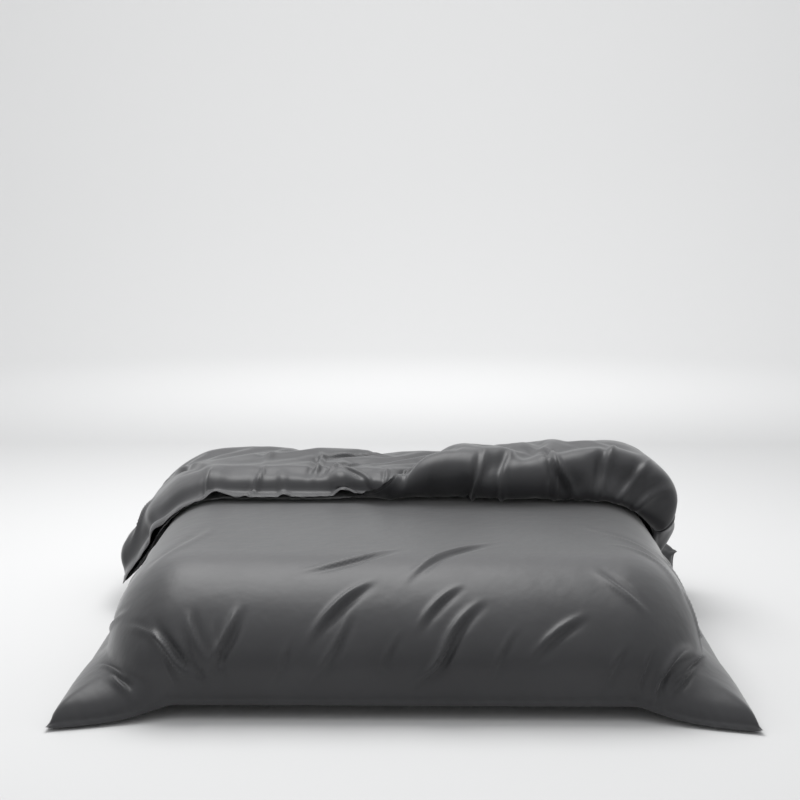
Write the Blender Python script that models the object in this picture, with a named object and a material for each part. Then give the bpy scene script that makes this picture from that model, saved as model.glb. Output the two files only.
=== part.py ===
"""A duvet lying over a low bed, its head end turned back and rolled once more at one side.

The duvet is a cover of two sateen panels, a quilt of two shell panels round its fill, the
buttoned opening with its two hem facings, and the ties that hold the quilt's corners.
Every cloth piece is cut flat first: u runs across the duvet, v runs from the foot hem to the
opening, and n is the height above the back panel's outer side. place() then folds and drapes
those flat sizes over the bed, so all layers keep their spacing.
Metres, +Z up, +Y towards the head of the bed, origin on the mattress under the duvet.
"""

import math

import bmesh
import bpy
import numpy as np
from mathutils import Matrix, Vector

# The duvet, laid flat
COVER_WIDTH = 2.24
COVER_LENGTH = 2.34
LOFT = 0.085  # thickness of the filled duvet
SEAM_TAPER = 0.16  # distance from a seam at which the duvet reaches its full loft
PANEL = 0.0012  # cover panel
SHELL = 0.0008  # quilt shell panel
GAP = 0.0003  # between two pieces that touch
QUILT_INSET = 0.02  # quilt's edge to the cover's seam
HEM_BAND = 0.07  # opening hem, past the quilt's head edge

# The opening and the small parts
FACING_WIDTH = 0.04
FACING_FROM_EDGE = 0.006
BUTTON_CLEARANCE = 0.0005
BUTTON_ROOM = 0.012  # between a button and the facing it buttons through
BUTTON_RADIUS = 0.006
BUTTON_THICKNESS = 0.0028
BUTTON_RIM = 0.0008
BUTTON_DIMPLE_RADIUS = 0.0036
BUTTON_DIMPLE_DEPTH = 0.0008
LOOP_RADIUS = 0.0028
LOOP_CORD_RADIUS = 0.0006
TIE_RADIUS = 0.0018
CORNER_CLEARANCE = 0.0009
LABEL_WIDTH = 0.045
LABEL_DEPTH = 0.014
LABEL_THICKNESS = 0.0005

# The bed under it
MATTRESS_WIDTH = 1.53
MATTRESS_HEIGHT = 0.30
MATTRESS_EDGE = 0.05  # radius of the mattress's upper edges
FOOT_Y = -0.80  # foot face of the bed
FOOT_HANG = 0.297  # flat length past the foot face
HEM_CLEARANCE = 0.004  # hems above the floor

# The turned-back head end
FOLD_Y = 0.457  # fold line where it crosses the middle of the bed
FOLD_SLANT = 0.14  # the fold line comes forward by this share of the way to the right
FOLD_REACH = 0.80  # the fold line runs straight this far to each side
FOLD_CLEARANCE = 0.004  # half the space between the duvet and its turned-back part, at the sides
FRONT_Y = 0.054  # front edge of the turned-back part
ROLL_FRONT_STEP = 0.03  # the roll's front edge lies this much further back
ROLL_START_X = -0.16
ROLL_BLEND = 0.60  # width over which the single turn-back becomes a roll
ROLL_CLEARANCE = 0.003
GATHER_LEFT = 0.10  # sideways drift of the turned-back part, per metre past the fold
GATHER_RIGHT = -0.22
GATHER_START_X = -0.50
GATHER_BLEND = 1.0
CROWN_REACH = 0.50  # the duvet is fullest this far to each side of the middle
CROWN_BLEND = 0.15
STEEP_MAIN = math.radians(85)  # steepest slope of the hanging sides and foot
STEEP_CORNER = math.radians(70)
STEEP_TURNBACK = math.radians(65)
FLOOR_BEND = 0.08  # height over which a hanging corner turns out along the floor
GAP_START = math.radians(64)  # the fold is open from here ...
GAP_END = math.radians(112)  # ... to here, room for the turned-back part to swing

# Grid of the cloth pieces
HANG_STEPS = 40
COLUMNS_FLAT = 4  # from the middle to the side of the mattress; a button sits in each
COLUMNS_IN_THIRDS = 2  # this many of them, where the roll begins
BUTTONS_ON_SIDE = 2  # over each side of the mattress, each in the middle of three columns
ROWS_HANG = 3
ROWS_FLAT = 3
ROWS_ARC = 2
ROWS_RUN = 3
ROWS_BEND = 3
ROWS_RETURN = 4
ROWS_TURNED = ROWS_RUN + ROWS_BEND + ROWS_RETURN

FLAT_HALF = MATTRESS_WIDTH / 2 - MATTRESS_EDGE
FLAT_FOOT_Y = FOOT_Y + MATTRESS_EDGE
FOOT_LENGTH = FOOT_HANG + MATTRESS_EDGE
FOLD_RADIUS = LOFT + FOLD_CLEARANCE
CROWN = FOLD_CLEARANCE - GAP
FULL_LOFT = LOFT + CROWN
FOLD_ARC = math.pi * (FOLD_RADIUS - LOFT / 2)
ROLL_ARC = math.pi * (ROLL_CLEARANCE + LOFT / 2)
SEAM_THICKNESS = 2 * PANEL + GAP
QUILT_END = COVER_LENGTH - HEM_BAND
QUILT_HALF = COVER_WIDTH / 2 - QUILT_INSET
FACING_DEPTH = FACING_WIDTH + FACING_FROM_EDGE
LOOP_OUTER = LOOP_RADIUS + LOOP_CORD_RADIUS
BUTTON_PITCH = FLAT_HALF / COLUMNS_FLAT
SIDE_PITCH = (QUILT_HALF - FLAT_HALF) / BUTTONS_ON_SIDE
OPENING_THICKNESS = 4 * PANEL + 6 * GAP + BUTTON_CLEARANCE + BUTTON_THICKNESS + BUTTON_ROOM


def smooth(t):
    t = np.clip(t, 0.0, 1.0)
    return t * t * (3 - 2 * t)


def bulge(t):
    """Quarter of an ellipse: 0 at a seam, 1 where the duvet is full."""
    t = np.clip(t, 0.0, 1.0)
    return np.sqrt(1 - (1 - t) ** 2)


def thickness(u, v):
    """Thickness of the whole duvet at a flat point."""
    full = LOFT + CROWN * (1 - smooth((abs(u) - CROWN_REACH) / CROWN_BLEND))
    from_seam = np.minimum(COVER_WIDTH / 2 - abs(u), v)
    sides = SEAM_THICKNESS + (full - SEAM_THICKNESS) * bulge(from_seam / SEAM_TAPER)
    past_quilt = QUILT_END + QUILT_INSET / 2 - v
    head = OPENING_THICKNESS + (full - OPENING_THICKNESS) * bulge(past_quilt / SEAM_TAPER)
    return np.minimum(sides, head)


def fold_y(u):
    return FOLD_Y - FOLD_SLANT * np.clip(u, -FOLD_REACH, FOLD_REACH)


def roll_share(u):
    return smooth((u - ROLL_START_X) / ROLL_BLEND)


def knots(u):
    """Flat lengths v at which the duvet's course changes, and the fold and front lines."""
    back = fold_y(u)
    front = FRONT_Y + ROLL_FRONT_STEP * roll_share(u)
    fold_start = FOOT_LENGTH + back - FLAT_FOOT_Y
    fold_end = fold_start + FOLD_ARC
    rolled = (COVER_LENGTH - fold_end - (back - front)) * roll_share(u)
    return back, front, fold_start, fold_end, COVER_LENGTH - rolled


def course(u, v, n):
    """Where a flat point lies: y, drop past the foot edge, height above the mattress, and
    sideways drift. Where the duvet is thin, its turned-back part settles on what is under it."""
    back, front, fold_start, fold_end, roll_start = knots(u)
    turn = np.clip((v - fold_start) / FOLD_ARC, 0, 1) * math.pi
    roll = np.clip((v - roll_start) / ROLL_ARC, 0, 1) * math.pi
    run = np.clip((v - fold_end) / (roll_start - fold_end), 0, 1)
    past_roll = np.maximum(v - roll_start - ROLL_ARC, 0)
    flat = np.clip(v, FOOT_LENGTH, fold_start) - FOOT_LENGTH
    settle = (FULL_LOFT - thickness(u, v)) * smooth(turn / math.pi) * (1 + np.cos(roll)) / 2
    depth = n + settle
    y = FLAT_FOOT_Y + flat + (FOLD_RADIUS - depth) * np.sin(turn)
    y = y - run * (back - front) - (ROLL_CLEARANCE + depth) * np.sin(roll) + past_roll
    height = FOLD_RADIUS - (FOLD_RADIUS - depth) * np.cos(turn)
    height = height + (ROLL_CLEARANCE + depth) * (1 - np.cos(roll))
    left_to_right = smooth((u - GATHER_START_X) / GATHER_BLEND)
    gather = GATHER_LEFT + (GATHER_RIGHT - GATHER_LEFT) * left_to_right
    drift = gather * np.maximum(v - fold_end, 0)
    return y, np.maximum(FOOT_LENGTH - v, 0), height, drift


def middle_height(u, v):
    """Height of the layer that sets how far the duvet bends round the mattress's sides, and the
    share of the head-end fold. It rises where the fold is open, and along the turned-back part."""
    _, _, fold_start, fold_end, roll_start = knots(u)
    turn = (v - fold_start) / FOLD_ARC * math.pi
    turned = smooth((turn - GAP_START) / (GAP_END - GAP_START))
    rolled = smooth((v - fold_end) / (roll_start + ROLL_ARC - fold_end)) * roll_share(u)
    half = FULL_LOFT / 2
    return half + 2 * (FOLD_RADIUS - half) * turned + 2 * (ROLL_CLEARANCE + half) * rolled, turned


def place(u, v, n):
    """World position of flat points: numpy arrays u, v and n of one shape give an array of points.

    The course over the bed is followed outward from the mattress's flat top in short steps: level
    at first, bending down over the rounded edge to its steepest slope, and level again at the floor.
    """
    y, drop, height, drift = course(u, v, n)
    middle, turned = middle_height(u, v)
    across = u + drift
    side = np.maximum(abs(across) - FLAT_HALF, 0)
    reach = np.hypot(side, drop)
    safe = np.maximum(reach, 1e-9)
    cornered = 2 * side * drop / safe**2
    steepest = STEEP_MAIN + (STEEP_CORNER - STEEP_MAIN) * cornered
    steepest = steepest + (STEEP_TURNBACK - steepest) * turned
    lowest = middle + HEM_CLEARANCE - MATTRESS_HEIGHT
    out, level = np.zeros_like(reach), middle.copy()
    step = reach / HANG_STEPS
    for k in range(HANG_STEPS + 1):
        along = min(k + 0.5, HANG_STEPS) * step
        slope = np.minimum(along / (MATTRESS_EDGE + middle), steepest)
        slope = slope * np.clip((level - lowest) / FLOOR_BEND, 0, 1)
        if k < HANG_STEPS:
            out = out + np.cos(slope) * step
            level = level - np.sin(slope) * step
    off_middle = height - middle
    out = out + off_middle * np.sin(slope)
    level = level + off_middle * np.cos(slope)
    x = np.sign(across) * (np.minimum(abs(across), FLAT_HALF) + out * side / safe)
    return np.stack([x, y - out * drop / safe, level], axis=-1)


def flat_length(u, station):
    """v at a station: 0 foot hem, 1 edge of the bed, 2 and 3 ends of the fold, 4 and 5 ends of
    the roll's bend (or as many rows further on where there is no roll), 6 quilt's end."""
    _, _, fold_start, fold_end, roll_start = knots(u)
    share = roll_share(u)
    turned = QUILT_END - fold_end
    bend_start = fold_end + turned * ROWS_RUN / ROWS_TURNED
    bend_end = fold_end + turned * (ROWS_RUN + ROWS_BEND) / ROWS_TURNED
    bend_start = bend_start + (roll_start - bend_start) * share
    bend_end = bend_end + (roll_start + ROLL_ARC - bend_end) * share
    lines = [0 * u, FOOT_LENGTH + 0 * u, fold_start, fold_end, bend_start, bend_end, QUILT_END + 0 * u]
    whole = min(int(station), len(lines) - 2)
    return lines[whole] + (station - whole) * (lines[whole + 1] - lines[whole])


def clear_scene():
    for old in list(bpy.data.objects):
        bpy.data.objects.remove(old, do_unlink=True)


def collection(name):
    made = bpy.data.collections.new(name)
    bpy.context.scene.collection.children.link(made)
    return made


def material(name, colour, roughness, metallic=0.0):
    made = bpy.data.materials.new(name)
    made.use_nodes = True
    shader = made.node_tree.nodes["Principled BSDF"]
    shader.inputs["Base Color"].default_value = (*colour, 1.0)
    shader.inputs["Roughness"].default_value = roughness
    shader.inputs["Metallic"].default_value = metallic
    return made


def add(name, mesh_or_bmesh, finish, parts):
    if isinstance(mesh_or_bmesh, bmesh.types.BMesh):
        mesh = bpy.data.meshes.new(name)
        mesh_or_bmesh.to_mesh(mesh)
        mesh_or_bmesh.free()
    else:
        mesh = mesh_or_bmesh
    obj = bpy.data.objects.new(name, mesh)
    mesh.materials.append(finish)
    mesh.shade_smooth()
    mesh.set_sharp_from_angle(angle=math.radians(50))
    parts.objects.link(obj)
    return obj


def cloth(name, columns, rows, low, high, finish, parts):
    """A closed cloth slab over a grid: columns are values of u, each row gives v for a u,
    and low and high give n for a flat point. A unit grid is doubled, joined round its rim
    and carried from its flat size to its place."""
    across, along = len(columns) - 1, len(rows) - 1
    bm = bmesh.new()
    bmesh.ops.create_grid(bm, x_segments=across, y_segments=along, size=0.5)
    raised = bmesh.ops.extrude_face_region(bm, geom=bm.faces[:], use_keep_orig=True)["geom"]
    for vert in raised:
        if isinstance(vert, bmesh.types.BMVert):
            vert.co.z = 1.0
    bmesh.ops.recalc_face_normals(bm, faces=bm.faces)
    bmesh.ops.triangulate(bm, faces=bm.faces[:], quad_method="ALTERNATE")
    unit = np.array([vert.co for vert in bm.verts])
    column, row = np.rint((unit[:, :2] + 0.5) * (across, along)).astype(int).T
    u = np.array(columns)[column]
    v = np.stack([line(u) for line in rows])[row, np.arange(len(u))]
    n = np.where(unit[:, 2] > 0.5, high(u, v), low(u, v))
    for vert, point in zip(bm.verts, place(u, v, n)):
        vert.co = point
    return add(name, bm, finish, parts)


def even(first, last, count):
    return [first + (last - first) * k / count for k in range(count + 1)]


def mirrored(half):
    return [-x for x in reversed(half) if x > 0] + half


def at_station(station):
    return lambda u: flat_length(u, station)


def at_length(length):
    return lambda u: np.full_like(u, length)


def above(height):
    """n this far above the back panel's outer side."""
    return lambda u, v: np.full_like(u, height)


def below(depth):
    """n this far below the face panel's outer side."""
    return lambda u, v: thickness(u, v) - depth


def seat(u_ends, v_ends, n, across=0.5, along=0.5):
    """Matrix on the two facets between two columns and two rows, which meet on the diagonal from
    near right to far left: X runs across the duvet, Z up through its layers."""
    u = np.array([u_ends[0], u_ends[1], u_ends[0], u_ends[1]])
    v = np.array([v_ends[0], v_ends[0], v_ends[1], v_ends[1]])
    near_left, near_right, far_left, far_right = (Vector(p) for p in place(u, v, np.full(4, n)))
    if across + along <= 1:
        origin = near_left + across * (near_right - near_left) + along * (far_left - near_left)
    else:
        back_across = (1 - across) * (far_left - far_right)
        origin = far_right + back_across + (1 - along) * (near_right - far_right)
    z_axis = (near_right - far_left).cross(far_right - near_left).normalized()
    x_axis = (near_right - near_left + far_right - far_left)
    x_axis = (x_axis - x_axis.dot(z_axis) * z_axis).normalized()
    frame = Matrix((x_axis, z_axis.cross(x_axis), z_axis)).transposed().to_4x4()
    frame.translation = origin
    return frame


ROLL_COLUMNS_END = COLUMNS_IN_THIRDS * BUTTON_PITCH
HALF_COLUMNS = (
    even(0.0, ROLL_COLUMNS_END, 3 * COLUMNS_IN_THIRDS)
    + even(ROLL_COLUMNS_END, FLAT_HALF, COLUMNS_FLAT - COLUMNS_IN_THIRDS)[1:]
    + even(FLAT_HALF, QUILT_HALF, 3 * BUTTONS_ON_SIDE)[1:]
)
LYING_STATIONS = (
    even(0, 1, ROWS_HANG)[1:]
    + even(1, 2, ROWS_FLAT)[1:]
    + even(2, 2 + GAP_START / math.pi, ROWS_ARC)[1:]
)
TURNED_STATIONS = (
    even(2 + GAP_END / math.pi, 3, ROWS_ARC)
    + even(3, 4, ROWS_RUN)[1:]
    + even(4, 5, ROWS_BEND)[1:]
    + even(5, 6, ROWS_RETURN)[1:]
)
LYING_ROWS = [at_length(QUILT_INSET)] + [at_station(s) for s in LYING_STATIONS]
TURNED_ROWS = [at_station(s) for s in TURNED_STATIONS]


def covers(finish, parts):
    """Both panels of the cover, each a piece on the bed and a piece in the turned-back part."""
    columns = mirrored(HALF_COLUMNS + [COVER_WIDTH / 2])
    lying = [at_length(0.0)] + LYING_ROWS
    turned = TURNED_ROWS + [at_length(COVER_LENGTH - d) for d in (FACING_DEPTH, FACING_FROM_EDGE, 0.0)]
    for part, rows in (("lying", lying), ("turnback", turned)):
        cloth(f"cover_back_{part}", columns, rows, above(0.0), above(PANEL), finish, parts)
        cloth(f"cover_face_{part}", columns, rows, below(PANEL), below(0.0), finish, parts)


def quilt(shell_finish, fill_finish, parts):
    """The quilt in the cover: two shell panels round the fill, in the same two pieces."""
    columns = mirrored(HALF_COLUMNS)
    shell_start = PANEL + GAP
    fill_start = shell_start + SHELL + GAP
    for part, rows in (("lying", LYING_ROWS), ("turnback", TURNED_ROWS)):
        cloth(f"quilt_shell_lower_{part}", columns, rows, above(shell_start), above(shell_start + SHELL),
              shell_finish, parts)
        cloth(f"quilt_fill_{part}", columns, rows, above(fill_start), below(fill_start),
              fill_finish, parts)
        cloth(f"quilt_shell_upper_{part}", columns, rows, below(shell_start + SHELL), below(shell_start),
              shell_finish, parts)


def facings(finish, parts):
    """The two hem facings that stiffen the opening, one inside each panel."""
    columns = mirrored(HALF_COLUMNS)
    rows = [at_length(COVER_LENGTH - d) for d in (FACING_DEPTH, FACING_FROM_EDGE)]
    start = PANEL + 3 * GAP
    cloth("opening_facing_back", columns, rows, above(start), above(start + PANEL), finish, parts)
    cloth("opening_facing_face", columns, rows, below(start + PANEL), below(start), finish, parts)


def button_mesh():
    """A disc with rounded rims and a shallow dimple on its upper side."""
    bm = bmesh.new()
    disc = dict(cap_ends=True, segments=16)
    bmesh.ops.create_cone(bm, radius1=BUTTON_RADIUS, radius2=BUTTON_RADIUS, depth=BUTTON_THICKNESS, **disc)
    rims = [edge for edge in bm.edges if abs(edge.verts[0].co.z - edge.verts[1].co.z) < GAP]
    bmesh.ops.bevel(bm, geom=rims, offset=BUTTON_RIM, segments=1, affect="EDGES", profile=0.5)
    top = max(bm.faces, key=lambda face: face.calc_center_median().z)
    bmesh.ops.inset_region(bm, faces=[top], thickness=BUTTON_RADIUS - BUTTON_RIM - BUTTON_DIMPLE_RADIUS)
    for vert in top.verts:
        vert.co.z -= BUTTON_DIMPLE_DEPTH
    bmesh.ops.recalc_face_normals(bm, faces=bm.faces)
    return bm


def button_places():
    """u of each button and the width of the column it sits in, from left to right."""
    right = []
    for k in range(COLUMNS_FLAT):
        width = BUTTON_PITCH / 3 if k < COLUMNS_IN_THIRDS else BUTTON_PITCH
        right.append(((k + 0.5) * BUTTON_PITCH, width))
    for k in range(BUTTONS_ON_SIDE):
        right.append((FLAT_HALF + (k + 0.5) * SIDE_PITCH, SIDE_PITCH / 3))
    return [(-middle, width) for middle, width in reversed(right)] + right


def buttons(finish, parts):
    """The buttons of the opening, sewn to the back panel's facing."""
    rows = (COVER_LENGTH - FACING_DEPTH, COVER_LENGTH - FACING_FROM_EDGE)
    sewn = 2 * PANEL + 3 * GAP
    for number, (middle, width) in enumerate(button_places(), start=1):
        frame = seat((middle - width / 2, middle + width / 2), rows, sewn)
        button = add(f"button_{number:02d}", button_mesh(), finish, parts)
        lift = BUTTON_CLEARANCE + BUTTON_THICKNESS / 2
        button.matrix_world = frame @ Matrix.Translation((0, 0, lift))


def loop_mesh():
    bpy.ops.mesh.primitive_torus_add(
        major_segments=14,
        minor_segments=6,
        major_radius=LOOP_RADIUS,
        minor_radius=LOOP_CORD_RADIUS,
    )
    ring = bpy.context.object
    mesh = ring.data
    bpy.data.objects.remove(ring, do_unlink=True)
    return mesh


def knot_mesh():
    bm = bmesh.new()
    bmesh.ops.create_uvsphere(bm, u_segments=10, v_segments=6, radius=TIE_RADIUS)
    return bm


def corners(tie_finish, loop_finish, parts):
    """In each corner of the cover, the quilt's cord loop and the cover's tie knotted beside it."""
    loop_reach = (LOOP_OUTER + CORNER_CLEARANCE) / math.sqrt(2)
    tie_reach = loop_reach + (LOOP_OUTER + CORNER_CLEARANCE + TIE_RADIUS) / math.sqrt(2)
    foot, head = (0.0, QUILT_INSET), (QUILT_END, COVER_LENGTH - FACING_DEPTH)
    for side, side_name in ((-1, "left"), (1, "right")):
        u_ends = sorted((side * QUILT_HALF, side * COVER_WIDTH / 2))
        for v_ends, end_name, end in ((foot, "foot", -1), (head, "head", 1)):
            for name, mesh, finish, reach, height in (
                ("quilt_loop", loop_mesh(), loop_finish, loop_reach, LOOP_CORD_RADIUS),
                ("corner_tie", knot_mesh(), tie_finish, tie_reach, TIE_RADIUS),
            ):
                across = reach / (u_ends[1] - u_ends[0])
                along = reach / (v_ends[1] - v_ends[0])
                frame = seat(
                    u_ends,
                    v_ends,
                    PANEL,
                    across if side > 0 else 1 - across,
                    along if end > 0 else 1 - along,
                )
                made = add(f"{name}_{end_name}_{side_name}", mesh, finish, parts)
                made.matrix_world = frame @ Matrix.Translation((0, 0, CORNER_CLEARANCE + height))


def label(finish, parts):
    """The blank care label in the foot seam, on the back panel's inner side."""
    frame = seat((0.0, BUTTON_PITCH), (0.0, QUILT_INSET), PANEL)
    bm = bmesh.new()
    size = Matrix.Diagonal((LABEL_WIDTH, LABEL_DEPTH, LABEL_THICKNESS, 1.0))
    bmesh.ops.create_cube(bm, size=1.0, matrix=size)
    made = add("care_label", bm, finish, parts)
    made.matrix_world = frame @ Matrix.Translation((0, 0, GAP + LABEL_THICKNESS / 2))


def main():
    clear_scene()
    parts = collection("duvet")
    sateen = material("charcoal cotton sateen", (0.045, 0.045, 0.048), 0.55)
    cambric = material("white cotton cambric", (0.80, 0.79, 0.76), 0.8)
    down = material("down filling", (0.85, 0.83, 0.78), 0.95)
    resin = material("dark grey button resin", (0.05, 0.05, 0.055), 0.35)
    tape = material("charcoal cotton tape", (0.06, 0.06, 0.065), 0.8)
    satin = material("white satin label tape", (0.75, 0.75, 0.73), 0.5)
    covers(sateen, parts)
    quilt(cambric, down, parts)
    facings(sateen, parts)
    buttons(resin, parts)
    corners(tape, cambric, parts)
    label(satin, parts)


main()
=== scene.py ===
"""A charcoal sateen duvet on a low bed, its head end turned back and rolled once more at the right.

The cover is one bag of cloth, draped from its flat sizes and settled by a cloth simulation. Its two
panels, the quilt in it, the stitched hems of the opening and the small parts are then made on it.
u runs across the flat duvet, v from its foot hem to the opening, both in metres.
"""

import math

import bmesh
import bpy
import numpy as np
from mathutils import Matrix, Vector


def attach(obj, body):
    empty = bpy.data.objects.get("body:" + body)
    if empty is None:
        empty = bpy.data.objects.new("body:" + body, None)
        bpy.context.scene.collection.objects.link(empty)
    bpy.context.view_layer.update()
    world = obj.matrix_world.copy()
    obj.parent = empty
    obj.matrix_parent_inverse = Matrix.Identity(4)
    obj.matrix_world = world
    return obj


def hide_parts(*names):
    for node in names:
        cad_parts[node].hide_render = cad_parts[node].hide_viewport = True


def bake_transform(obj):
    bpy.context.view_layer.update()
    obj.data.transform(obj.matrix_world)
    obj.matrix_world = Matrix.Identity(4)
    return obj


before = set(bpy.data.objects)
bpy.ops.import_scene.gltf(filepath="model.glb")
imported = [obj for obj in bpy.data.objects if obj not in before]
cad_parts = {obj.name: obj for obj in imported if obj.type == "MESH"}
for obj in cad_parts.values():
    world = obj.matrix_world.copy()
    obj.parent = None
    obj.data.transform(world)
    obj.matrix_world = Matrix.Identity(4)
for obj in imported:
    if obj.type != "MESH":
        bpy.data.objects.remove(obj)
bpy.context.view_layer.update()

# The duvet, laid flat
COVER_WIDTH = 2.24
COVER_LENGTH = 2.34
LOFT = 0.085
SEAM_TAPER = 0.16  # distance from a seam at which the duvet is at its full loft
HEM_LOFT = 0.012  # the buttoned opening, which holds no quilt
HEM_BAND = 0.07
QUILT_INSET = 0.02
FACING_WIDTH = 0.04

# The bed under it, which the cloth is draped on
MATTRESS_WIDTH = 1.53
MATTRESS_LENGTH = 2.03
MATTRESS_HEIGHT = 0.30
BED_DEPTH = 1.0  # of the form the cloth settles on, which goes on below the floor
MATTRESS_EDGE = 0.25  # a soft mattress yields, so its edges are rounder under the duvet
FOOT_ROUNDING = 0.31  # the duvet bends over the foot in a wide curve, and closer at the sides
SIDE_ROUNDING = 0.15
TURNED_ROUNDING = 0.10
FLAT_HALF = 0.625  # half the width that lies flat, and what the turned-back part adds to it
FLAT_HALF_MORE = 0.03
FLAT_FOOT_Y = -0.60
FOOT_Y = -0.80
FOOT_LENGTH = 0.475  # from the foot hem to where the duvet lies flat
HEM_CLEARANCE = 0.004

# The turned-back head end
FOLD_RADIUS = LOFT + 0.004
FOLD_Y = 0.457
FOLD_SLANT = 0.14
FOLD_REACH = 0.80
FRONT_Y = 0.054
ROLL_FRONT_STEP = 0.03
ROLL_START_X = -0.16
ROLL_BLEND = 0.60
ROLL_CLEARANCE = 0.003
GATHER_LEFT = 0.02  # sideways push of the turned-back part, per metre past the fold
GATHER_RIGHT = -0.40
GATHER_START_X = -0.40
GATHER_BLEND = 0.90
STEEP_MAIN = math.radians(80)
STEEP_CORNER = math.radians(72)
STEEP_TURNBACK = math.radians(76)
STEEP_WING = math.radians(38)  # the left corner of the turned-back part stands out like a wing
WING_START = 1.70
WING_BLEND = 0.40
CORNER_TURN = 0.13  # radians by which the foot corners point further forward
FLOOR_BEND = 0.08
HANG_STEPS = 40
MIDDLE_START = math.radians(40)
MIDDLE_END = math.radians(140)

FOLD_ARC = math.pi * (FOLD_RADIUS - LOFT / 2)
ROLL_ARC = math.pi * (ROLL_CLEARANCE + LOFT / 2)

# Cloth grid and simulation
CLOTH_STEP = 0.0225
FRAMES = 36
START_LIFT = 0.006
TOUCH_DISTANCE = 0.004
LAYER_DISTANCE = 0.006
BED_FRICTION = 8
FILL_PRESSURE = 3.0
CLOTH_EASE = 0.03  # the cloth settles as if cut this share larger, so that it has some to buckle
HOLD_LYING = 0.58  # how far the lying part keeps its place while it settles, from 0 to 1
HOLD_TURNED = 0.12
EVENING_PASSES = 14
BAFFLE_PITCH = 0.11  # spacing of the threads that hold the quilt's two sides together
BUTTON_COUNT = 12

# Sampling of the finished surfaces
FINE_STEP = 0.0085
HEM_ROWS = (0.060, 0.046, 0.034, 0.024, 0.017, 0.014, 0.012, 0.010, 0.007, 0.005, 0.004, 0.0025, 0.001, 0.0)
SEAM_ROWS = (0.0, 0.002, 0.004, 0.006, 0.008, 0.010, 0.014, 0.020)
SEAM_LINE = 0.008  # the seam's stitches show as a groove this far in from the edge
SEAM_GROOVE = 0.0022
SEAM_GROOVE_WIDTH = 0.0028
STITCH_LINES = (0.004, 0.012)  # two rows of topstitch, from the free edge
STITCH_GROOVE = 0.0012
STITCH_GROOVE_WIDTH = 0.0016
FACING_MARK_WIDTH = 0.004  # the facing's far edge shows through as a wider groove
STITCH_PITCH = 0.0045
STITCH_LENGTH = 0.0034
STITCH_WIDTH = 0.0010
EDGE_ROLL = 0.0015
EDGE_ROUND = 0.005
SEAM_PUCKER = 0.0012  # the sewing draws the cloth up a little beside a seam
PUCKER_REACH = 0.02
PUCKER_LENGTHS = (0.043, 0.067, 0.31)  # two waves along the seam, the second one swelling slowly
PUCKER_SECOND = 0.7  # its height beside the first, and how far it is shifted, in radians
PUCKER_SHIFT = 1.3
PUCKER_START = 0.006
PUCKER_CORNER_FADE = 0.1
SEAT_REACH = 0.002
CREASE_OVERRUN = 0.3  # how far a crease runs on past its two ends, and fades in, by its length
CREASE_FADE = 0.7
CREASE_SEAM_FADE = 0.03
CREASE_HEAD_FADE = 0.25  # near the opening the panels lie too close for a deep valley
RIDGE_WIDTH = 0.7  # the ridge and the valley beside it, by the crease's own width and height
RIDGE_RISE = 1.3
VALLEY_PLACE = 1.3
VALLEY_WIDTH = 0.9
VALLEY_DEPTH = 0.7
NORMAL_REACH = 0.004
CLOTH_GAP = 0.0012
QUILT_COLUMNS, QUILT_ROWS = 140, 146
QUILT_FULLNESS = 0.5  # the share of the room between the panels that the quilt fills
QUILT_HEAD_GAP = 0.10
QUILT_ROUND = 0.08
QUILT_FOOT_SLOPE = 2  # the quilt fills out this much more slowly from its foot and head rims
QUILT_HEAD_SLOPE = 4
FACING_INSET = 0.002
FACING_ROWS = 7
QUILT_PARTS = ("quilt_shell_lower", "quilt_fill", "quilt_shell_upper")

# Buttons, corner ties and label
BUTTON_RADIUS = 0.006
BUTTON_THICKNESS = 0.0028
BUTTON_RIM = 0.0012
BUTTON_DISH = 0.0008
BUTTON_ROUNDING = 0.0004
BUTTON_HOLE = 0.0006
BUTTON_HOLE_REACH = 0.0016
BUTTON_FROM_EDGE = 0.026
DRILL_LENGTH = 0.01
LOOP_RADIUS = 0.0028
LOOP_CORD = 0.0006
TIE_RADIUS = 0.0018
KNOT_END = 0.85  # beyond this share of its radius the knot runs out into the tape's two ends
CORNER_LOOP = 0.014
LABEL_PLACE = 0.07
LABEL_WIDTH = 0.045
LABEL_DEPTH = 0.014
LABEL_INSET = 0.003
LABEL_COLUMNS, LABEL_ROWS = 10, 5

# The studio: lamps as size, power, place and turn, the floor that sweeps up, and the camera
SOFTBOX = (3.0, 155, (-0.6, 0.9, 3.6), (math.radians(-16), math.radians(-8), 0))
BACKDROP_WASH = (4.0, 260, (0, 4.0, 4.0), (math.radians(80), 0, 0))
SURROUND_STRENGTH = 0.97
SWEEP_FLAT = 7.0
SWEEP_RADIUS = 4.0
SWEEP_STEPS = 24
SWEEP_SIDES = 96
CAMERA_PLACE = (0.04, -5.04, 1.25)
CAMERA_TURN = (math.radians(81), 0, math.radians(0.7))
LENS_LENGTH = 69.8
SENSOR_WIDTH = 36

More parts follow.
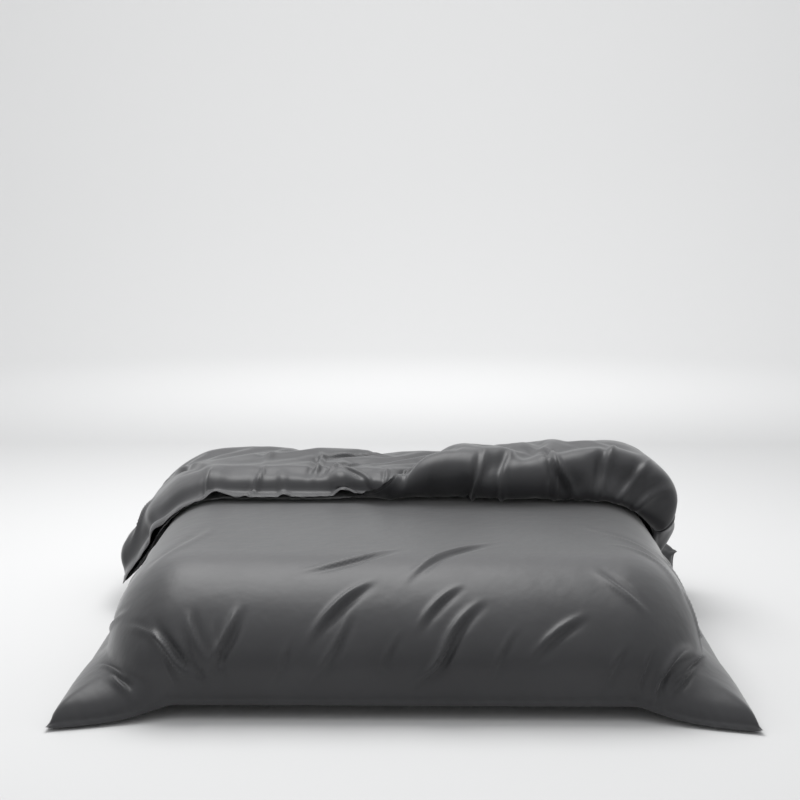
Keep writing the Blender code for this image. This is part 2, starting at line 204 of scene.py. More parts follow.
# Creases in the flat cloth: from, to (u, v in metres), half width, height, bow
FACE_CREASES = (
    ((0.23, 0.57), (0.03, 0.36), 0.014, 0.008, 0.012),  # across the middle of the bed
    ((-0.05, 0.49), (-0.26, 0.37), 0.012, 0.007, -0.010),
    ((-0.12, 0.30), (-0.25, 0.16), 0.014, 0.012, 0.008),
    ((-0.16, 0.19), (-0.24, 0.06), 0.012, 0.009, -0.006),
    ((0.14, 0.29), (0.05, 0.19), 0.012, 0.009, 0.006),
    ((0.19, 0.23), (0.09, 0.08), 0.014, 0.012, 0.010),
    ((0.13, 0.14), (0.04, 0.04), 0.012, 0.010, -0.006),
    ((0.48, 0.20), (0.36, 0.11), 0.013, 0.010, 0.006),
    ((0.84, 0.21), (0.74, 0.03), 0.016, 0.016, 0.010),  # the right foot corner
    ((0.90, 0.16), (0.82, 0.04), 0.012, 0.008, -0.006),
    ((-0.72, 0.18), (-0.58, 0.05), 0.014, 0.014, 0.008),  # the left foot corner
    ((-0.60, 0.20), (-0.56, 0.11), 0.012, 0.010, 0.004),
    ((-0.47, 0.21), (-0.53, 0.09), 0.014, 0.014, -0.006),
    ((-0.62, 0.14), (-0.55, 0.03), 0.010, 0.008, 0.004),
    ((-0.92, 0.11), (-0.85, 0.04), 0.012, 0.012, 0.004),
    ((0.57, 0.76), (0.75, 0.58), 0.020, 0.005, 0.015),  # the shoulders, below the turned-back part
    ((0.64, 0.57), (0.79, 0.41), 0.018, 0.006, -0.012),
    ((0.56, 0.34), (0.67, 0.24), 0.015, 0.006, 0.006),
    ((-0.71, 0.46), (-0.61, 0.75), 0.020, 0.004, 0.015),
    ((0.70, 0.12), (0.66, 0.02), 0.009, 0.006, 0.003),  # small ones along the foot hem
    ((-0.80, 0.24), (-0.66, 0.12), 0.009, 0.006, 0.004),
    ((-0.53, 0.17), (-0.50, 0.05), 0.009, 0.007, 0.003),
    ((-0.98, 0.22), (-0.88, 0.10), 0.010, 0.007, -0.004),
    ((-0.68, 0.10), (-0.62, 0.02), 0.008, 0.005, 0.002),
    ((0.30, 0.16), (0.24, 0.05), 0.009, 0.005, 0.004),
    ((-0.02, 0.15), (-0.07, 0.05), 0.008, 0.005, 0.003),
    ((-0.32, 0.13), (-0.36, 0.04), 0.009, 0.005, -0.003),
    ((0.60, 0.12), (0.55, 0.03), 0.009, 0.006, 0.003),
    ((0.95, 0.30), (0.87, 0.16), 0.011, 0.008, 0.006),  # down the right side
    ((1.00, 0.50), (0.90, 0.36), 0.011, 0.007, 0.005),
    ((0.78, 0.47), (0.93, 0.32), 0.012, 0.005, 0.008),
    ((0.75, 0.68), (0.92, 0.52), 0.014, 0.005, -0.008),
    ((0.98, 0.92), (0.80, 0.78), 0.014, 0.007, 0.010),
    ((1.00, 1.22), (0.84, 1.06), 0.014, 0.007, -0.008),
    ((-0.98, 0.75), (-0.80, 0.60), 0.014, 0.007, 0.010),  # down the left side
    ((-1.00, 1.08), (-0.82, 0.92), 0.014, 0.007, -0.008),
    ((-0.94, 0.45), (-0.84, 0.33), 0.011, 0.006, 0.006),
    ((0.30, 1.94), (0.42, 2.06), 0.012, 0.010, 0.008),  # the roll's front
    ((0.44, 1.91), (0.52, 2.05), 0.014, 0.009, -0.008),
    ((0.62, 1.90), (0.66, 2.06), 0.012, 0.010, 0.010),
    ((0.70, 1.88), (0.62, 2.00), 0.012, 0.009, 0.006),
    ((0.76, 1.87), (0.86, 2.00), 0.014, 0.010, 0.008),
    ((0.84, 1.86), (0.96, 1.97), 0.012, 0.010, 0.006),
    ((0.92, 1.85), (1.03, 1.93), 0.012, 0.009, -0.006),
)
BACK_CREASES = (
    ((-0.66, 2.16), (-0.66, 2.40), 0.055, 0.016, 0.0),  # lifts of its free edge, over the opening
    ((-0.24, 2.16), (-0.20, 2.40), 0.070, 0.018, 0.0),
    ((-0.90, 2.18), (-0.93, 2.40), 0.050, 0.014, 0.0),
    ((-0.44, 2.20), (-0.43, 2.40), 0.030, 0.009, 0.0),
    ((-0.67, 2.18), (-0.71, 2.34), 0.012, 0.010, 0.006),  # the turned-back part's front
    ((-0.50, 2.16), (-0.56, 2.34), 0.012, 0.010, 0.008),
    ((-0.31, 1.89), (-0.34, 2.25), 0.014, 0.012, 0.015),
    ((-0.02, 2.12), (0.00, 2.34), 0.010, 0.009, 0.006),
    ((0.08, 2.10), (0.08, 2.29), 0.012, 0.010, -0.008),
    ((-0.22, 2.14), (-0.05, 2.29), 0.014, 0.008, 0.010),
    ((-0.90, 2.12), (-1.02, 2.24), 0.015, 0.012, 0.010),
    ((-0.15, 2.00), (-0.28, 2.20), 0.014, 0.009, -0.012),
    ((0.16, 1.98), (0.05, 2.18), 0.012, 0.009, 0.010),
    ((-0.85, 1.85), (-0.70, 2.10), 0.018, 0.008, 0.020),  # its top
    ((-0.45, 1.80), (-0.50, 2.05), 0.020, 0.006, -0.015),
    ((-0.30, 1.90), (-0.08, 1.80), 0.016, 0.008, 0.012),
)


def smooth(t):
    t = np.clip(t, 0.0, 1.0)
    return t * t * (3 - 2 * t)


def bulge(t):
    """Quarter of an ellipse: 0 at a seam, 1 where the duvet is full."""
    t = np.clip(t, 0.0, 1.0)
    return np.sqrt(1 - (1 - t) ** 2)


# The drape -----------------------------------------------------------------------------------


def thickness(u, v):
    from_seam = np.minimum(COVER_WIDTH / 2 - abs(u), v)
    from_hem = COVER_LENGTH - HEM_BAND - v
    head = HEM_LOFT + (LOFT - HEM_LOFT) * bulge(from_hem / SEAM_TAPER)
    return np.minimum(LOFT * bulge(from_seam / SEAM_TAPER), head)


def roll_share(u):
    return smooth((u - ROLL_START_X) / ROLL_BLEND)


def knots(u):
    """y of the fold and of the front edge, and the flat lengths where the fold and roll start."""
    back = FOLD_Y - FOLD_SLANT * np.clip(u, -FOLD_REACH, FOLD_REACH)
    front = FRONT_Y + ROLL_FRONT_STEP * roll_share(u)
    fold_start = FOOT_LENGTH + back - FLAT_FOOT_Y
    fold_end = fold_start + FOLD_ARC
    rolled = (COVER_LENGTH - fold_end - (back - front)) * roll_share(u)
    return back, front, fold_start, fold_end, COVER_LENGTH - rolled


def course(u, v, n, gathered):
    """Where a flat point lies along the bed: y, drop past the foot, height and sideways drift."""
    back, front, fold_start, fold_end, roll_start = knots(u)
    turn = np.clip((v - fold_start) / FOLD_ARC, 0, 1) * math.pi
    roll = np.clip((v - roll_start) / ROLL_ARC, 0, 1) * math.pi
    run = np.clip((v - fold_end) / (roll_start - fold_end), 0, 1)
    past_roll = np.maximum(v - roll_start - ROLL_ARC, 0)
    flat = np.clip(v, FOOT_LENGTH, fold_start) - FOOT_LENGTH
    depth = n + (LOFT - thickness(u, v)) * smooth(turn / math.pi) * (1 + np.cos(roll)) / 2
    y = FLAT_FOOT_Y + flat + (FOLD_RADIUS - depth) * np.sin(turn)
    y = y - run * (back - front) - (ROLL_CLEARANCE + depth) * np.sin(roll) + past_roll
    height = FOLD_RADIUS - (FOLD_RADIUS - depth) * np.cos(turn)
    height = height + (ROLL_CLEARANCE + depth) * (1 - np.cos(roll))
    left_to_right = smooth((u - GATHER_START_X) / GATHER_BLEND)
    gather = gathered * (GATHER_LEFT + (GATHER_RIGHT - GATHER_LEFT) * left_to_right)
    return y, np.maximum(FOOT_LENGTH - v, 0), height, gather * np.maximum(v - fold_end, 0)


def turned_share(u, v):
    _, _, fold_start, _, _ = knots(u)
    turn = (v - fold_start) / FOLD_ARC * math.pi
    return smooth((turn - MIDDLE_START) / (MIDDLE_END - MIDDLE_START))


def place(u, v, n, gathered=1.0):
    """World position of flat points n above the back panel. Past the mattress's flat top the cloth
    is followed outward in short steps: bending down to its steepest, and level again at the floor."""
    y, drop, height, drift = course(u, v, n, gathered)
    _, _, _, fold_end, roll_start = knots(u)
    turned = turned_share(u, v)
    rolled = smooth((v - fold_end) / (roll_start + ROLL_ARC - fold_end)) * roll_share(u)
    middle = LOFT / 2 + (2 * FOLD_RADIUS - LOFT) * turned + (2 * ROLL_CLEARANCE + LOFT) * rolled
    across = u + drift
    flat_half = FLAT_HALF + FLAT_HALF_MORE * turned
    side = np.maximum(abs(across) - flat_half, 0)
    reach = np.hypot(side, drop)
    rounding = SIDE_ROUNDING + (FOOT_ROUNDING - SIDE_ROUNDING) * (drop / np.maximum(reach, 1e-9)) ** 2
    rounding = rounding + (TURNED_ROUNDING - rounding) * turned + middle
    cornered = 2 * side * drop / np.maximum(reach, 1e-9) ** 2
    steepest = STEEP_MAIN + (STEEP_CORNER - STEEP_MAIN) * cornered
    wing = smooth((v - WING_START) / WING_BLEND) * (u < 0)
    steepest = steepest + (STEEP_TURNBACK + (STEEP_WING - STEEP_TURNBACK) * wing - steepest) * turned
    lowest = middle + HEM_CLEARANCE - MATTRESS_HEIGHT
    out, level = np.zeros_like(reach), middle.copy()
    step = reach / HANG_STEPS
    for k in range(HANG_STEPS + 1):
        along = min(k + 0.5, HANG_STEPS) * step
        slope = np.minimum(along / rounding, steepest)
        slope = slope * np.clip((level - lowest) / FLOOR_BEND, 0, 1)
        if k < HANG_STEPS:
            out = out + np.cos(slope) * step
            level = level - np.sin(slope) * step
    out = out + (height - middle) * np.sin(slope)
    level = level + (height - middle) * np.cos(slope)
    heading = np.arctan2(drop, side) + CORNER_TURN * cornered
    x = np.sign(across) * (np.minimum(abs(across), flat_half) + out * np.cos(heading) * (side > 0))
    return np.stack([x, y - out * np.sin(heading) * (drop > 0), level], axis=-1)


# The simulation ------------------------------------------------------------------------------


def bag(name, columns, rows, open_head):
    """Two layers of a grid joined along their rims, the head's rim only if it isn't left open.
    Returns the object and each vertex's column, row and layer, 0 for the back and 1 for the face."""
    bm = bmesh.new()
    bmesh.ops.create_grid(bm, x_segments=columns, y_segments=rows, size=0.5)
    raised = bmesh.ops.extrude_face_region(bm, geom=bm.faces[:], use_keep_orig=True)["geom"]
    rim = 0.5 - 1e-4
    head_rim = 1.0 if open_head else rim
    for vert in raised:
        if isinstance(vert, bmesh.types.BMVert):
            seamed = abs(vert.co.x) > rim or vert.co.y < -rim or vert.co.y > head_rim
            vert.co.z = 0.0 if seamed else 1.0
    bmesh.ops.remove_doubles(bm, verts=bm.verts, dist=1e-5)
    between = []
    for face in bm.faces:
        layers = {round(vert.co.z) for vert in face.verts}
        if open_head and len(layers) > 1 and all(vert.co.y > rim for vert in face.verts):
            between.append(face)
    bmesh.ops.delete(bm, geom=between, context="FACES")
    bmesh.ops.recalc_face_normals(bm, faces=bm.faces)
    unit = np.array([vert.co for vert in bm.verts])
    column, row = np.rint((unit[:, :2] + 0.5) * (columns, rows)).astype(int).T
    mesh = bpy.data.meshes.new(name)
    bm.to_mesh(mesh)
    bm.free()
    made = bpy.data.objects.new(name, mesh)
    bpy.context.scene.collection.objects.link(made)
    return made, column, row, (unit[:, 2] > 0.5).astype(int)


def tie_layers(cloth, columns, rows, column, row, layer):
    """Threads between the layers: in a grid, as the quilt's channels hold it, and at the buttons."""
    at = {key: k for k, key in enumerate(zip(column, row, layer))}
    pitch = round(BAFFLE_PITCH / CLOTH_STEP)
    ties = [(i, j) for j in range(pitch, rows, pitch) for i in range(pitch, columns, pitch)]
    ties += [(round(columns * (k + 0.5) / BUTTON_COUNT), rows - 1) for k in range(BUTTON_COUNT)]
    first = len(cloth.data.edges)
    cloth.data.edges.add(len(ties))
    for k, (i, j) in enumerate(ties):
        cloth.data.edges[first + k].vertices = (at[i, j, 0], at[i, j, 1])
    cloth.data.update(calc_edges=False)


def collider(obj):
    obj.modifiers.new("Collision", "COLLISION")
    obj.collision.thickness_outer = TOUCH_DISTANCE
    obj.collision.cloth_friction = BED_FRICTION
    return obj


def bed_and_floor():
    """What the duvet lies on while it settles. Both are removed again."""
    middle = (0, FOOT_Y + MATTRESS_LENGTH / 2, -BED_DEPTH / 2)
    bpy.ops.mesh.primitive_cube_add(size=1, location=middle)
    bed = bpy.context.object
    bed.scale = (MATTRESS_WIDTH, MATTRESS_LENGTH, BED_DEPTH)
    bpy.ops.object.transform_apply(location=True, rotation=True, scale=True)
    rounding = bed.modifiers.new("Bevel", "BEVEL")
    rounding.width = MATTRESS_EDGE
    rounding.segments = 6
    bpy.ops.object.modifier_apply(modifier="Bevel")
    bpy.ops.mesh.primitive_plane_add(size=6, location=(0, 0, -MATTRESS_HEIGHT))
    return [collider(bed), collider(bpy.context.object)]


def settle(draped, hold):
    """Lets the cloth settle under its weight and the fill's pressure, and applies the result."""
    held = draped.vertex_groups.new(name="hold")
    for vertex, weight in enumerate(hold):
        held.add([vertex], float(weight), "REPLACE")
    cloth = draped.modifiers.new("Cloth", "CLOTH")
    setup = cloth.settings
    setup.quality = 5
    setup.mass = 0.15
    setup.air_damping = 1.0
    setup.tension_stiffness = setup.compression_stiffness = 15
    setup.shear_stiffness = 5
    setup.bending_stiffness = 0.5
    setup.tension_damping = setup.compression_damping = setup.shear_damping = 5
    setup.bending_damping = 0.5
    setup.use_pressure = True
    setup.uniform_pressure_force = FILL_PRESSURE
    setup.rest_shape_key = draped.data.shape_keys.key_blocks["cut"]
    setup.shrink_min = -CLOTH_EASE
    setup.vertex_group_mass = "hold"
    setup.pin_stiffness = 1.0
    touching = cloth.collision_settings
    touching.collision_quality = 2
    touching.distance_min = TOUCH_DISTANCE
    touching.use_self_collision = True
    touching.self_distance_min = LAYER_DISTANCE
    touching.self_friction = 5
    cloth.point_cache.frame_end = FRAMES
    bpy.context.scene.frame_end = FRAMES
    for number in range(1, FRAMES + 1):
        bpy.context.scene.frame_set(number)
    graph = bpy.context.evaluated_depsgraph_get()
    settled = draped.evaluated_get(graph).to_mesh()
    points = np.array([vert.co for vert in settled.vertices])
    bpy.context.scene.frame_set(1)
    return points


def settled_layers():
    """The back and face panels' positions, each an array of rows by columns by 3."""
    columns, rows = round(COVER_WIDTH / CLOTH_STEP), round(COVER_LENGTH / CLOTH_STEP)
    cloth, column, row, layer = bag("draped_bag", columns, rows, open_head=True)
    tie_layers(cloth, columns, rows, column, row, layer)
    u = (column / columns - 0.5) * COVER_WIDTH
    v = row / rows * COVER_LENGTH
    n = np.where(layer == 1, thickness(u, v), 0.0)
    lift = np.array([0, 0, START_LIFT])
    points = place(u, v, n) + lift
    cut = place(u, v, n, gathered=0.0) + lift
    cloth.data.vertices.foreach_set("co", points.ravel())
    cloth.shape_key_add(name="Basis")
    cloth.shape_key_add(name="cut").data.foreach_set("co", cut.ravel())
    supports = bed_and_floor()
    hold = HOLD_LYING + (HOLD_TURNED - HOLD_LYING) * turned_share(u, v)
    points = settle(cloth, hold)
    for support in supports:
        bpy.data.objects.remove(support, do_unlink=True)
    bpy.data.objects.remove(cloth, do_unlink=True)
    layers = np.zeros((2, rows + 1, columns + 1, 3))
    layers[layer, row, column] = points
    layers[1, 0], layers[1, :, 0], layers[1, :, -1] = layers[0, 0], layers[0, :, 0], layers[0, :, -1]
    return layers


def evened(layers):
    """The settled layers without the dimples that the quilt's threads leave in the lying part."""
    rows, columns = layers.shape[1] - 1, layers.shape[2] - 1
    u, v = np.meshgrid(
        np.linspace(-0.5, 0.5, columns + 1) * COVER_WIDTH, np.linspace(0, COVER_LENGTH, rows + 1)
    )
    start = np.stack([place(u, v, n) for n in (np.zeros_like(u), thickness(u, v))])
    moved = layers - start
    even = moved
    for _ in range(EVENING_PASSES):
        edged = np.pad(even, ((0, 0), (1, 1), (1, 1), (0, 0)), mode="edge")
        beside = edged[:, 1:-1, 2:] + edged[:, 1:-1, :-2]
        even = (beside + edged[:, 2:, 1:-1] + edged[:, :-2, 1:-1]) / 8 + even / 2
    turned = turned_share(u, v)[..., None]
    evened_layers = start + even + (moved - even) * turned
    seam = (layers[0] + layers[1]) / 2
    for layer in evened_layers:
        layer[0], layer[:, 0], layer[:, -1] = seam[0], seam[:, 0], seam[:, -1]
    return evened_layers


# Sampling the settled cloth ------------------------------------------------------------------


def spline_rows(points, at):
    """A grid's rows at fractional row numbers, on a cubic B-spline, which keeps the end rows."""
    padded = np.concatenate([2 * points[:1] - points[1:2], points, 2 * points[-1:] - points[-2:-1]])
    whole = np.clip(np.floor(at).astype(int), 0, len(points) - 2)
    t = (at - whole)[:, None, None]
    shares = ((1 - t) ** 3, 3 * t**3 - 6 * t**2 + 4, 3 * (t + t**2 - t**3) + 1, t**3)
    return sum(share * padded[whole + k] for k, share in enumerate(shares)) / 6


def cloth_at(layer, us, vs):
    """Points of a settled layer, a row for each of vs and a column for each of us."""
    rows, columns = layer.shape[0] - 1, layer.shape[1] - 1
    along = spline_rows(layer, np.asarray(vs) / COVER_LENGTH * rows)
    across = spline_rows(along.swapaxes(0, 1), (np.asarray(us) / COVER_WIDTH + 0.5) * columns)
    return across.swapaxes(0, 1)


def line_mark(distance, line, width):
    return np.exp(-(((distance - line) / width) ** 2))


def crease_height(u, v, creases):
    """Height of the folds pressed into the cloth. Each runs straight between two flat points, a
    little bowed, as a ridge with a valley beside it, and fades out at both ends."""
    height = np.zeros_like(u)
    for (u_from, v_from), (u_to, v_to), width, rise, bow in creases:
        length = math.hypot(u_to - u_from, v_to - v_from)
        along_u, along_v = (u_to - u_from) / length, (v_to - v_from) / length
        along = ((u - u_from) * along_u + (v - v_from) * along_v) / length
        beside = (u - u_from) * along_v - (v - v_from) * along_u - bow * 4 * along * (1 - along)
        fade = smooth((along + CREASE_OVERRUN) / CREASE_FADE)
        fade = fade * smooth((1 + CREASE_OVERRUN - along) / CREASE_FADE)
        ridge = line_mark(beside, 0, RIDGE_WIDTH * width)
        valley = line_mark(beside, -VALLEY_PLACE * width, VALLEY_WIDTH * width)
        height = height + RIDGE_RISE * rise * fade * (ridge - VALLEY_DEPTH * valley)
    return np.where(height < 0, height * smooth((COVER_LENGTH - v) / CREASE_HEAD_FADE), height)


def on_panel(cover, us, vs):
    """Points of a cover panel with its creases pressed in, and unit normals on the side that the
    face panel shows. A panel is its settled layer, its creases and 1 for the face, -1 for the back."""
    layer, creases, outer = cover
    us, vs = np.asarray(us), np.asarray(vs)
    half = COVER_WIDTH / 2
    low_u, high_u = np.maximum(us - NORMAL_REACH, -half), np.minimum(us + NORMAL_REACH, half)
    low_v, high_v = np.maximum(vs - NORMAL_REACH, 0), np.minimum(vs + NORMAL_REACH, COVER_LENGTH)
    across = cloth_at(layer, high_u, vs) - cloth_at(layer, low_u, vs)
    normal = np.cross(across, cloth_at(layer, us, high_v) - cloth_at(layer, us, low_v))
    normal = normal / np.maximum(np.linalg.norm(normal, axis=-1, keepdims=True), 1e-12)
    u, v = np.meshgrid(us, vs)
    from_seam = np.minimum(half - abs(u), v)
    rise = outer * crease_height(u, v, creases) * smooth(from_seam / CREASE_SEAM_FADE)
    return cloth_at(layer, us, vs) + rise[..., None] * normal, normal


def seats(cover, us, v, lift):
    """A matrix on a panel at each of us: X across the duvet, Z on the face panel's outer side."""
    across = np.sort(np.concatenate([us - SEAT_REACH, us, us + SEAT_REACH]))
    points, _ = on_panel(cover, across, [v - SEAT_REACH, v, v + SEAT_REACH])
    made = []
    for k in range(1, len(across), 3):
        x_axis = Vector(points[1, k + 1] - points[1, k - 1]).normalized()
        z_axis = x_axis.cross(Vector(points[2, k] - points[0, k])).normalized()
        frame_here = Matrix((x_axis, z_axis.cross(x_axis), z_axis)).transposed().to_4x4()
        frame_here.translation = Vector(points[1, k]) + z_axis * lift
        made.append(frame_here)
    return made


# Pieces --------------------------------------------------------------------------------------


def grid_piece(name, points, us, vs, finish, face_out=True):
    """A sheet through a grid of points, with its flat lengths in metres as its UV map."""
    rows, columns = points.shape[:2]
    bpy.ops.object.select_all(action="DESELECT")
    bpy.ops.mesh.primitive_grid_add(x_subdivisions=columns - 1, y_subdivisions=rows - 1, size=1)
    piece = bpy.context.object
    piece.name = piece.data.name = name
    mesh = piece.data
    unit = np.array([vert.co for vert in mesh.vertices])
    column = np.rint((unit[:, 0] + 0.5) * (columns - 1)).astype(int)
    row = np.rint((unit[:, 1] + 0.5) * (rows - 1)).astype(int)
    mesh.vertices.foreach_set("co", points[row, column].ravel())
    corner = np.zeros(len(mesh.loops), dtype=int)
    mesh.loops.foreach_get("vertex_index", corner)
    flat = np.stack([np.asarray(us)[column], np.asarray(vs)[row]], axis=-1)
    mesh.uv_layers[0].data.foreach_set("uv", flat[corner].ravel())
    if not face_out:
        mesh.flip_normals()
    mesh.shade_smooth()
    mesh.update()
    mesh.materials.append(finish)
    return piece, flat[:, 0], flat[:, 1]


def follow_the_fold(piece):
    """Bakes the piece's transform into its mesh and leaves its shape as it is."""
    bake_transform(piece)


def panel(name, cover, finish):
    """One panel of the cover, with the groove of its seams and topstitch and a turned free edge."""
    half = COVER_WIDTH / 2
    seam = np.array(SEAM_ROWS)
    inner = seam[-1] + FINE_STEP
    us = np.linspace(inner - half, half - inner, round((COVER_WIDTH - 2 * inner) / FINE_STEP) + 1)
    us = np.concatenate([seam - half, us, half - seam[::-1]])
    hem = COVER_LENGTH - np.array(HEM_ROWS)
    last = hem[0] - FINE_STEP
    vs = np.linspace(inner, last, round((last - inner) / FINE_STEP) + 1)
    vs = np.concatenate([seam, vs, hem])
    points, normal = on_panel(cover, us, vs)
    u, v = np.meshgrid(us, vs)
    from_seam = np.minimum(half - abs(u), v)
    from_edge = COVER_LENGTH - v
    relief = -SEAM_GROOVE * line_mark(from_seam, SEAM_LINE, SEAM_GROOVE_WIDTH)
    for line in STITCH_LINES:
        relief = relief - STITCH_GROOVE * line_mark(from_edge, line, STITCH_GROOVE_WIDTH)
    relief = relief - STITCH_GROOVE * line_mark(from_edge, FACING_WIDTH, FACING_MARK_WIDTH)
    relief = relief - EDGE_ROLL * np.clip(1 - from_edge / EDGE_ROUND, 0, 1) ** 2
    along_seam = (u + v) * 2 * math.pi
    first, second, swell = (along_seam / length for length in PUCKER_LENGTHS)
    pucker = np.sin(first) + PUCKER_SECOND * np.sin(second + PUCKER_SHIFT) * np.sin(swell)
    near_hem = np.exp(-from_edge / PUCKER_REACH) * smooth(from_seam / PUCKER_CORNER_FADE)
    near_seam = np.exp(-from_seam / PUCKER_REACH) + near_hem
    relief = relief + SEAM_PUCKER * pucker * near_seam * smooth(from_seam / PUCKER_START)
    points = points + cover[2] * relief[..., None] * normal
    piece, u, v = grid_piece(name, points, us, vs, finish, cover[2] > 0)
    follow_the_fold(piece)
    return piece


def quilt(back, face, finish):
    """The down quilt inside, a closed pad between the panels."""
    columns, rows = QUILT_COLUMNS, QUILT_ROWS
    half, head = COVER_WIDTH / 2 - QUILT_INSET, COVER_LENGTH - QUILT_HEAD_GAP
    us, vs = np.linspace(-half, half, columns + 1), np.linspace(QUILT_INSET, head, rows + 1)
    lower, upper = cloth_at(back[0], us, vs), cloth_at(face[0], us, vs)
    u, v = np.meshgrid(us, vs)
    from_ends = np.minimum((v - QUILT_INSET) / QUILT_FOOT_SLOPE, (head - v) / QUILT_HEAD_SLOPE)
    from_rim = np.minimum(half - abs(u), from_ends)
    share = QUILT_FULLNESS * bulge(from_rim / QUILT_ROUND)[..., None]
    middle, rise = (lower + upper) / 2, (upper - lower) / 2 * share
    piece, column, row, layer = bag("down_quilt", columns, rows, open_head=False)
    side = np.where(layer == 1, 1.0, -1.0)[:, None]
    piece.data.vertices.foreach_set("co", (middle[row, column] + side * rise[row, column]).ravel())
    piece.data.shade_smooth()
    piece.data.materials.append(finish)
    follow_the_fold(piece)
    return piece


def facing(name, cover, finish):
    """The strip that stiffens the opening, against a panel's inner side."""
    reach = COVER_WIDTH / 2 - QUILT_INSET
    us = np.linspace(-reach, reach, round(2 * reach / FINE_STEP) + 1)
    vs = COVER_LENGTH - np.linspace(FACING_WIDTH, FACING_INSET, FACING_ROWS)
    points, normal = on_panel(cover, us, vs)
    points = points - cover[2] * CLOTH_GAP * normal
    piece, _, _ = grid_piece(name, points, us, vs, finish, cover[2] < 0)
    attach(piece, "turnback")
    return piece


def copies(name, original, places, finish):
    """One piece made of a copy of the original at each place. The original is removed."""
    bm = bmesh.new()
    for place_here in places:
        copy = original.data.copy()
        copy.transform(place_here)
        bm.from_mesh(copy)
        bpy.data.meshes.remove(copy)
    mesh = bpy.data.meshes.new(name)
    bm.to_mesh(mesh)
    bm.free()
    piece = bpy.data.objects.new(name, mesh)
    bpy.context.scene.collection.objects.link(piece)
    bpy.data.objects.remove(original, do_unlink=True)
    mesh.shade_smooth()
    mesh.materials.clear()
    mesh.materials.append(finish)
    return piece


def topstitch(name, cover, finish):
    """The two rows of stitches along the opening, lying in their grooves on a panel's outer side."""
    bpy.ops.object.select_all(action="DESELECT")
    bpy.ops.mesh.primitive_ico_sphere_add(subdivisions=1, radius=0.5)
    stitch = bpy.context.object
    stitch.scale = (STITCH_LENGTH, STITCH_WIDTH, STITCH_WIDTH)
    bpy.ops.object.transform_apply(location=False, rotation=False, scale=True)
    reach = COVER_WIDTH / 2 - QUILT_INSET
    us = np.linspace(-reach, reach, round(2 * reach / STITCH_PITCH) + 1)
    places = []
    for line in STITCH_LINES:
        lift = cover[2] * (STITCH_WIDTH / 3 - STITCH_GROOVE)
        places += seats(cover, us, COVER_LENGTH - line, lift)
    piece = copies(name, stitch, places, finish)
    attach(piece, "turnback")
    return piece


def button_original():
    """A flat button with a raised rim, a dished middle and four holes."""
    bpy.ops.object.select_all(action="DESELECT")
    bpy.ops.mesh.primitive_cylinder_add(vertices=32, radius=BUTTON_RADIUS, depth=BUTTON_THICKNESS)
    button = bpy.context.object
    bpy.ops.object.mode_set(mode="EDIT")
    bpy.ops.mesh.select_all(action="DESELECT")
    bm = bmesh.from_edit_mesh(button.data)
    for facet in bm.faces:
        facet.select = facet.normal.z > 0.9
    bmesh.update_edit_mesh(button.data)
    bpy.ops.mesh.inset(thickness=BUTTON_RIM)
    bpy.ops.mesh.inset(thickness=BUTTON_RIM / 2, depth=-BUTTON_DISH)
    bpy.ops.object.mode_set(mode="OBJECT")
    for k in range(4):
        turn = (k + 0.5) * math.pi / 2
        bpy.ops.object.select_all(action="DESELECT")
        centre = (BUTTON_HOLE_REACH * math.cos(turn), BUTTON_HOLE_REACH * math.sin(turn), 0)
        bpy.ops.mesh.primitive_cylinder_add(
            vertices=12, radius=BUTTON_HOLE, depth=DRILL_LENGTH, location=centre
        )
        drill = bpy.context.object
        hole = button.modifiers.new("hole", "BOOLEAN")
        hole.operation = "DIFFERENCE"
        hole.object = drill
        bpy.context.view_layer.objects.active = button
        bpy.ops.object.modifier_apply(modifier="hole")
        bpy.data.objects.remove(drill, do_unlink=True)
    rounding = button.modifiers.new("rounding", "BEVEL")
    rounding.width = BUTTON_ROUNDING
    rounding.segments = 2
    bpy.ops.object.modifier_apply(modifier="rounding")
    return button


def buttons(back, finish):
    """The buttons of the opening, on the back panel's facing."""
    us = np.linspace(-1, 1, 2 * BUTTON_COUNT + 1)[1::2] * (COVER_WIDTH / 2 - QUILT_INSET)
    v = COVER_LENGTH - BUTTON_FROM_EDGE
    original = button_original()
    for number, here in enumerate(seats(back, us, v, 2 * CLOTH_GAP + BUTTON_THICKNESS / 2), start=1):
        button = bpy.data.objects.new(f"sewn_button_{number:02d}", original.data.copy())
        bpy.context.scene.collection.objects.link(button)
        button.data.transform(here)
        button.data.materials.clear()
        button.data.materials.append(finish)
        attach(button, "turnback")
        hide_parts(f"button_{number:02d}")
    bpy.data.objects.remove(original, do_unlink=True)


def thread_ring(radius, cord):
    bpy.ops.object.select_all(action="DESELECT")
    bpy.ops.mesh.primitive_torus_add(
        major_segments=32, minor_segments=10, major_radius=radius, minor_radius=cord
    )
    return bpy.context.object


def corner_knot():
    """A small flat knot: a squashed ball of tape with two short ends."""
    bpy.ops.object.select_all(action="DESELECT")
    bpy.ops.mesh.primitive_uv_sphere_add(segments=20, ring_count=12, radius=TIE_RADIUS)
    knot = bpy.context.object
    bpy.ops.object.mode_set(mode="EDIT")
    bpy.ops.mesh.select_all(action="DESELECT")
    bm = bmesh.from_edit_mesh(knot.data)
    for facet in bm.faces:
        facet.select = abs(facet.calc_center_median().x) > TIE_RADIUS * KNOT_END
    bmesh.update_edit_mesh(knot.data)
    bpy.ops.mesh.extrude_region_shrink_fatten(TRANSFORM_OT_shrink_fatten={"value": TIE_RADIUS})
    bpy.ops.object.mode_set(mode="OBJECT")
    return knot


